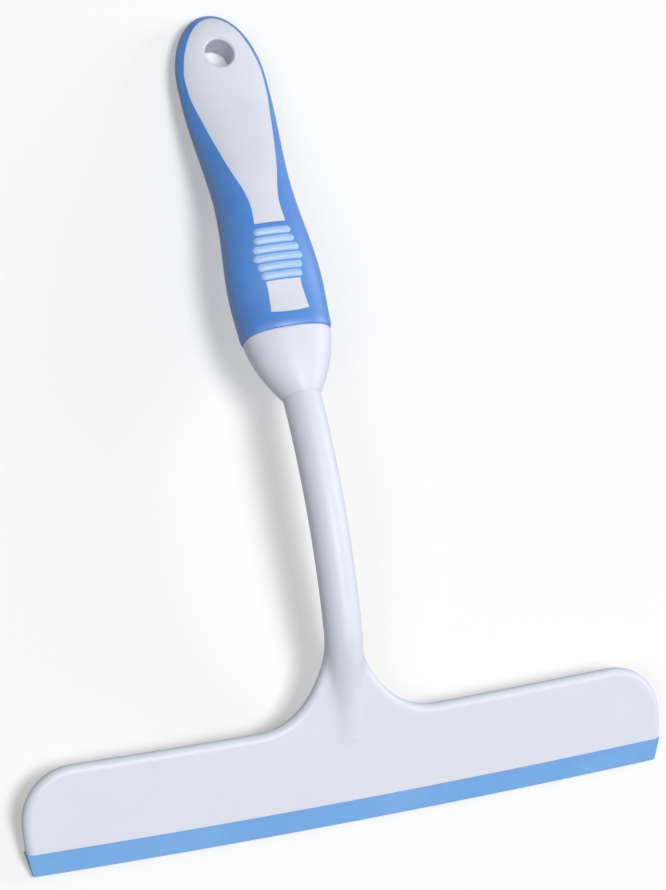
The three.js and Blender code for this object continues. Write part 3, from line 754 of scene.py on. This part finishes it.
def rib_tree(finish):
    """Rounded bars laid on the handle's front, one for each thumb rib."""
    tree = bpy.data.node_groups.new("thumb_ribs", "GeometryNodeTree")
    face = tree.interface
    for name, kind in (("Handle form", "NodeSocketObject"), ("Count", "NodeSocketInt"),
                       ("Pitch", "NodeSocketFloat"), ("Top rib", "NodeSocketFloat"),
                       ("Top half width", "NodeSocketFloat"),
                       ("Middle half width", "NodeSocketFloat"),
                       ("Low half width", "NodeSocketFloat"),
                       ("Rib radius", "NodeSocketFloat"), ("Sink", "NodeSocketFloat")):
        face.new_socket(name, in_out="INPUT", socket_type=kind)
    face.new_socket("Ribs", in_out="OUTPUT", socket_type="NodeSocketGeometry")
    given = add(tree, "NodeGroupInput").outputs
    index = add(tree, "GeometryNodeInputIndex").outputs[0]
    last = add(tree, "ShaderNodeMath", {1: 1.0}, {0: given["Count"]},
               operation="SUBTRACT").outputs[0]
    share = add(tree, "ShaderNodeMath", None, {0: index, 1: last},
                operation="DIVIDE").outputs[0]
    first_run = add(tree, "ShaderNodeMapRange", {"From Min": 0.0, "From Max": MID_RIB_SHARE},
                    {"Value": share, "To Min": given["Top half width"],
                     "To Max": given["Middle half width"]}, interpolation_type="SMOOTHSTEP")
    second_run = add(tree, "ShaderNodeMapRange", {"From Min": MID_RIB_SHARE, "From Max": 1.0},
                     {"Value": share, "To Min": given["Middle half width"],
                      "To Max": given["Low half width"]}, interpolation_type="SMOOTHSTEP")
    past = add(tree, "ShaderNodeMath", {1: MID_RIB_SHARE}, {0: share},
               operation="GREATER_THAN").outputs[0]
    half = add(tree, "GeometryNodeSwitch", None, {
        "Switch": past, "False": first_run.outputs[0], "True": second_run.outputs[0]},
        input_type="FLOAT").outputs[0]
    start = add(tree, "ShaderNodeCombineXYZ", None, {"Y": given["Top rib"]}).outputs[0]
    back_down = add(tree, "ShaderNodeMath", {1: -1.0}, {0: given["Pitch"]},
                    operation="MULTIPLY").outputs[0]
    step = add(tree, "ShaderNodeCombineXYZ", None, {"Y": back_down}).outputs[0]
    row = add(tree, "GeometryNodeMeshLine", None, {
        "Count": given["Count"], "Start Location": start, "Offset": step}).outputs[0]
    kept = add(tree, "GeometryNodeStoreNamedAttribute", {"Name": "half_width"},
               {"Geometry": row, "Value": half}, data_type="FLOAT", domain="POINT").outputs[0]
    line = add(tree, "GeometryNodeCurvePrimitiveLine",
               {"Start": (-1, 0, 0), "End": (1, 0, 0)}).outputs[0]
    fine = add(tree, "GeometryNodeResampleCurve", {"Count": 81}, {"Curve": line}).outputs[0]
    bars = add(tree, "GeometryNodeInstanceOnPoints", None,
               {"Points": kept, "Instance": fine}).outputs[0]
    real = add(tree, "GeometryNodeRealizeInstances", None, {"Geometry": bars}).outputs[0]
    width = add(tree, "GeometryNodeInputNamedAttribute", {"Name": "half_width"},
                data_type="FLOAT").outputs[0]
    spot = add(tree, "GeometryNodeInputPosition").outputs[0]
    parts = add(tree, "ShaderNodeSeparateXYZ", None, {"Vector": spot}).outputs
    # The points crowd towards both ends, where the bar's radius closes in a round end.
    angle = add(tree, "ShaderNodeMath", {1: math.pi / 2}, {0: parts["X"]},
                operation="MULTIPLY").outputs[0]
    crowd = add(tree, "ShaderNodeMath", None, {0: angle},
                operation="SINE").outputs[0]
    x = add(tree, "ShaderNodeMath", None, {0: crowd, 1: width},
            operation="MULTIPLY").outputs[0]
    above = add(tree, "ShaderNodeCombineXYZ", {"Z": ABOVE_HANDLE},
                {"X": x, "Y": parts["Y"]}).outputs[0]
    form = add(tree, "GeometryNodeObjectInfo", None, {"Object": given["Handle form"]}).outputs
    ray = add(tree, "GeometryNodeRaycast",
              {"Ray Direction": (0, 0, -1), "Ray Length": 2 * ABOVE_HANDLE},
              {"Target Geometry": form["Geometry"], "Source Position": above}).outputs
    sunk = add(tree, "ShaderNodeMath", {1: -1.0}, {0: given["Sink"]},
               operation="MULTIPLY").outputs[0]
    down = add(tree, "ShaderNodeCombineXYZ", None, {"Z": sunk}).outputs[0]
    rest = add(tree, "ShaderNodeVectorMath", None, {0: ray["Hit Position"], 1: down},
               operation="ADD").outputs[0]
    off_middle = add(tree, "ShaderNodeMath", None, {0: x},
                     operation="ABSOLUTE").outputs[0]
    from_end = add(tree, "ShaderNodeMath", None, {0: width, 1: off_middle},
                   operation="SUBTRACT").outputs[0]
    open_share = add(tree, "ShaderNodeMath", None, {0: from_end, 1: given["Rib radius"]},
                     operation="DIVIDE").outputs[0]
    closing = add(tree, "ShaderNodeMath", {0: 1.0}, {1: open_share},
                  operation="SUBTRACT").outputs[0]
    # The very end stays a little open, so that its ring keeps a size.
    kept_open = add(tree, "ShaderNodeClamp", {"Min": 0.0, "Max": 0.9995},
                    {"Value": closing}).outputs[0]
    closed_square = add(tree, "ShaderNodeMath", {1: 2.0}, {0: kept_open},
                        operation="POWER").outputs[0]
    size_square = add(tree, "ShaderNodeMath", {0: 1.0}, {1: closed_square},
                      operation="SUBTRACT").outputs[0]
    size = add(tree, "ShaderNodeMath", None, {0: size_square},
               operation="SQRT").outputs[0]
    sized = add(tree, "GeometryNodeSetCurveRadius", None,
                {"Curve": real, "Radius": size}).outputs[0]
    kept_size = add(tree, "GeometryNodeInputRadius").outputs[0]
    laid = add(tree, "GeometryNodeSetPosition", None,
               {"Geometry": sized, "Position": rest}).outputs[0]
    upright = add(tree, "GeometryNodeSetCurveNormal", None, {"Curve": laid}).outputs[0]
    ring = add(tree, "GeometryNodeCurvePrimitiveCircle", {"Resolution": 20},
               {"Radius": given["Rib radius"]}).outputs[0]
    skin = add(tree, "GeometryNodeCurveToMesh", {"Fill Caps": True},
               {"Curve": upright, "Profile Curve": ring, "Scale": kept_size})
    painted = add(tree, "GeometryNodeSetMaterial", {"Material": finish},
                  {"Geometry": skin.outputs[0]}).outputs[0]
    out = add(tree, "NodeGroupOutput")
    tree.links.new(painted, out.inputs["Ribs"])
    return tree


def thumb_ribs(finish):
    form = handle_form("rib_seat", 0)
    ribs = piece_of("thumb_ribs", [(0, 0, 0)], [])
    tree = rib_tree(finish)
    step = ribs.modifiers.new("ribs", "NODES")
    step.node_group = tree
    given = {"Handle form": form, "Count": RIB_COUNT, "Pitch": RIB_PITCH, "Top rib": TOP_RIB,
             "Top half width": RIB_HALVES[0], "Middle half width": RIB_HALVES[1],
             "Low half width": RIB_HALVES[2], "Rib radius": RIB_HEIGHT / 2 - CLOSE_GAP,
             "Sink": RIB_HEIGHT / 2 - RIB_PROUD}
    for item in tree.interface.items_tree:
        if item.in_out == "INPUT":
            step[item.identifier] = given[item.name]
    plain_mesh(ribs)
    outward(ribs)
    mesh = form.data
    bpy.data.objects.remove(form)
    bpy.data.meshes.remove(mesh)
    return ribs


# Materials


def paint(hex_colour):
    """A screen colour as the linear colour that a shader takes."""
    channels = [int(hex_colour[i:i + 2], 16) / 255 for i in (1, 3, 5)]
    linear = [c / 12.92 if c <= 0.04045 else ((c + 0.055) / 1.055) ** 2.4 for c in channels]
    return (*linear, 1.0)


def per_metre(size_mm):
    """The texture scale that gives a pattern a feature of that size."""
    return 1 / (size_mm * MM)


def bare_material(name):
    made = bpy.data.materials.new(name)
    made.use_nodes = True
    made.node_tree.nodes.clear()
    return made, made.node_tree


def moulded(name, light, dark, mottle_mm, grain_mm, grain_depth_mm, low_gloss, high_gloss,
            shader_values):
    """A moulded plastic or rubber: faint cloudiness in its colour, and a fine grain."""
    made, tree = bare_material(name)
    place = add(tree, "ShaderNodeTexCoord").outputs["Object"]
    cloud = add(tree, "ShaderNodeTexNoise", {"Scale": per_metre(mottle_mm), "Detail": 3.0},
                {"Vector": place}).outputs["Fac"]
    blend = add(tree, "ShaderNodeValToRGB", None, {"Fac": cloud})
    blend.color_ramp.elements[0].position = 0.3
    blend.color_ramp.elements[0].color = paint(dark)
    blend.color_ramp.elements[1].position = 0.7
    blend.color_ramp.elements[1].color = paint(light)
    grain = add(tree, "ShaderNodeTexNoise", {"Scale": per_metre(grain_mm), "Detail": 2.0},
                {"Vector": place}).outputs["Fac"]
    relief = add(tree, "ShaderNodeBump", {"Strength": 0.6, "Distance": grain_depth_mm * MM},
                 {"Height": grain}).outputs["Normal"]
    gloss = add(tree, "ShaderNodeMapRange", {"To Min": low_gloss, "To Max": high_gloss},
                {"Value": cloud}).outputs["Result"]
    shader = add(tree, "ShaderNodeBsdfPrincipled", shader_values,
                 {"Base Color": blend.outputs["Color"], "Roughness": gloss, "Normal": relief})
    add(tree, "ShaderNodeOutputMaterial", None, {"Surface": shader.outputs["BSDF"]})
    return made


# Polypropylene moulded in a lightly polished tool: a cool milky white with a soft sheen,
# and light that sinks in a little at its edges. Its grain is drawn coarser than real.
polypropylene = moulded("moulded_polypropylene", "#DEE2EF", "#DBDFED", 14, 0.7, 0.012,
                        0.42, 0.48, {"IOR": 1.49, "Subsurface Weight": 0.12,
                                     "Subsurface Scale": 0.002,
                                     "Subsurface Radius": (1.0, 1.0, 1.1)})

# Thermoplastic elastomer moulded over the grip: a dull soft blue with a faint bloom at
# grazing angles, and a fine matt grain.
grip_elastomer = moulded("thermoplastic_elastomer", "#548FDC", "#4E89D8", 9, 0.55, 0.02,
                         0.38, 0.46, {"IOR": 1.5, "Specular IOR Level": 0.8,
                                      "Sheen Weight": 0.3,
                                      "Sheen Roughness": 0.4})

# The thumb ribs in a pale blue, paler than the grip, with the grip elastomer's grain and
# gloss.
pale_rib_blue = moulded("elastomer_skin_on_ribs", "#AFCFF6", "#A8CAF3", 9, 0.55, 0.02,
                   0.38, 0.46, {"IOR": 1.5, "Sheen Weight": 0.1, "Sheen Roughness": 0.4})

# Moulded rubber of the blade: a paler blue, smoother than the grip and slightly cloudy.
blade_rubber = moulded("moulded_blade_rubber", "#83B6EC", "#7BAFE9", 20, 0.6, 0.008,
                       0.34, 0.42, {"IOR": 1.5, "Subsurface Weight": 0.1,
                                    "Subsurface Scale": 0.0015,
                                    "Subsurface Radius": (0.6, 0.8, 1.2)})


def zinc_plate():
    """Zinc plated steel: a cool grey metal with a fine cloudy shine."""
    made, tree = bare_material("zinc_plated_steel")
    place = add(tree, "ShaderNodeTexCoord").outputs["Object"]
    cloud = add(tree, "ShaderNodeTexNoise", {"Scale": per_metre(1.2), "Detail": 4.0},
                {"Vector": place}).outputs["Fac"]
    tone = add(tree, "ShaderNodeValToRGB", None, {"Fac": cloud})
    tone.color_ramp.elements[0].color = paint("#A9AEB4")
    tone.color_ramp.elements[1].color = paint("#CDD1D6")
    gloss = add(tree, "ShaderNodeMapRange", {"To Min": 0.25, "To Max": 0.42},
                {"Value": cloud}).outputs["Result"]
    shader = add(tree, "ShaderNodeBsdfPrincipled", {"Metallic": 1.0},
                 {"Base Color": tone.outputs["Color"], "Roughness": gloss})
    add(tree, "ShaderNodeOutputMaterial", None, {"Surface": shader.outputs["BSDF"]})
    return made


zinc_plated_steel = zinc_plate()


def finish_with(made, finish):
    made.data.materials.clear()
    made.data.materials.append(finish)
    return made


def camera():
    """The camera at the photograph's place, as the head is seen from there."""
    yaw, tilt, roll = 0.34607, 0.2097, 0.07241
    head_seen_at = (9.154, -139.62, -1172.47)
    turn = (Matrix.Rotation(roll, 4, "Z") @ Matrix.Rotation(tilt, 4, "X")
            @ Matrix.Rotation(yaw, 4, "Y"))
    seen = Matrix.Translation(head_seen_at) @ turn
    view = bpy.data.cameras.new("camera")
    view.sensor_width = 36
    view.lens = 128.46
    view.clip_start, view.clip_end = 0.01, 50
    made = bpy.data.objects.new("camera", view)
    bpy.context.scene.collection.objects.link(made)
    place = HEAD @ seen.inverted()
    place.translation = place.translation * MM
    made.matrix_world = place
    bpy.context.scene.camera = made


camera()

# Pieces of the fixed body
head = finish_with(placed(head_moulding(), HEAD), polypropylene)
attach(head, "squeegee")
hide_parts("head_and_shaft")

cover = finish_with(placed(grip_cover(), HANDLE), grip_elastomer)
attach(cover, "squeegee")
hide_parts("grip_sleeve")

front = finish_with(placed(front_moulding(), HANDLE), polypropylene)
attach(front, "squeegee")
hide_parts("handle_front_shell")

ribs = finish_with(placed(thumb_ribs(pale_rib_blue), HANDLE, 60), pale_rib_blue)
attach(ribs, "squeegee")

bulb = finish_with(placed(neck_bulb(), HANDLE), polypropylene)
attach(bulb, "squeegee")
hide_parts("neck_collar")

blade = finish_with(placed(rubber_blade(), HEAD), blade_rubber)
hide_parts("blade_root", "blade_lip")
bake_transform(blade)

for name in ("blade_clamp_strip", "handle_back_shell"):
    finish_with(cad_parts[name], polypropylene)
for name in ("handle_screw_1", "handle_screw_2"):
    finish_with(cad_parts[name], zinc_plated_steel)


# Floor, backdrop and light. The camera sees the table and the sky nearly white, and part
# of the table's white is its own, so that its shadows stay soft.
SEEN_WHITE = 0.973
TABLE_TONE, SEEN_TABLE_TONE = 0.45, 0.92
OWN_WHITE_SHARE = 0.32
TABLE_HALF = 4
AMBIENT = 0.12


def floor_finish():
    """A pale table: it keeps the shadows, and the camera sees it nearly white."""
    made, tree = bare_material("pale_table")
    rays = add(tree, "ShaderNodeLightPath").outputs
    tone = add(tree, "ShaderNodeMix", None, {"Factor": rays["Is Camera Ray"]},
               data_type="RGBA")
    tone.inputs[6].default_value = (TABLE_TONE, TABLE_TONE, TABLE_TONE, 1)
    tone.inputs[7].default_value = (SEEN_TABLE_TONE, SEEN_TABLE_TONE, SEEN_TABLE_TONE, 1)
    shader = add(tree, "ShaderNodeBsdfDiffuse", None, {"Color": tone.outputs[2]})
    glow = add(tree, "ShaderNodeEmission", {"Color": (SEEN_WHITE, SEEN_WHITE, SEEN_WHITE, 1)})
    share = add(tree, "ShaderNodeMath", {1: OWN_WHITE_SHARE}, {0: rays["Is Camera Ray"]},
                operation="MULTIPLY").outputs[0]
    both = add(tree, "ShaderNodeMixShader", None,
               {0: share, 1: shader.outputs["BSDF"], 2: glow.outputs["Emission"]})
    add(tree, "ShaderNodeOutputMaterial", None, {"Surface": both.outputs["Shader"]})
    return made


floor = piece_of("floor", [(*corner, 0) for corner in square(TABLE_HALF)], [(0, 1, 2, 3)])
finish_with(floor, floor_finish())

world = bpy.data.worlds.new("studio")
bpy.context.scene.world = world
world.use_nodes = True
tree = world.node_tree
tree.nodes.clear()
rays = add(tree, "ShaderNodeLightPath").outputs
strength = add(tree, "ShaderNodeMapRange", {"To Min": AMBIENT, "To Max": SEEN_WHITE},
               {"Value": rays["Is Camera Ray"]}).outputs["Result"]
sky = add(tree, "ShaderNodeBackground", {"Color": (1, 1, 1, 1)}, {"Strength": strength})
add(tree, "ShaderNodeOutputWorld", None, {"Surface": sky.outputs["Background"]})


def softbox(name, place, size, power):
    """A square lamp that looks at the middle of the table."""
    lamp = bpy.data.lights.new(name, "AREA")
    lamp.shape = "RECTANGLE"
    lamp.size = lamp.size_y = size
    lamp.energy = power
    made = bpy.data.objects.new(name, lamp)
    bpy.context.scene.collection.objects.link(made)
    made.location = place
    made.rotation_mode = "QUATERNION"
    made.rotation_quaternion = made.location.to_track_quat("Z", "Y")


softbox("overhead_softbox", (0.7, -0.5, 4.4), 1.5, 142)
softbox("low_right_softbox", (2.4, 0.3, 0.9), 1.2, 25)
softbox("left_fill_softbox", (-2.7, -0.6, 3.6), 1.8, 36)

bpy.context.scene.view_settings.view_transform = "Standard"
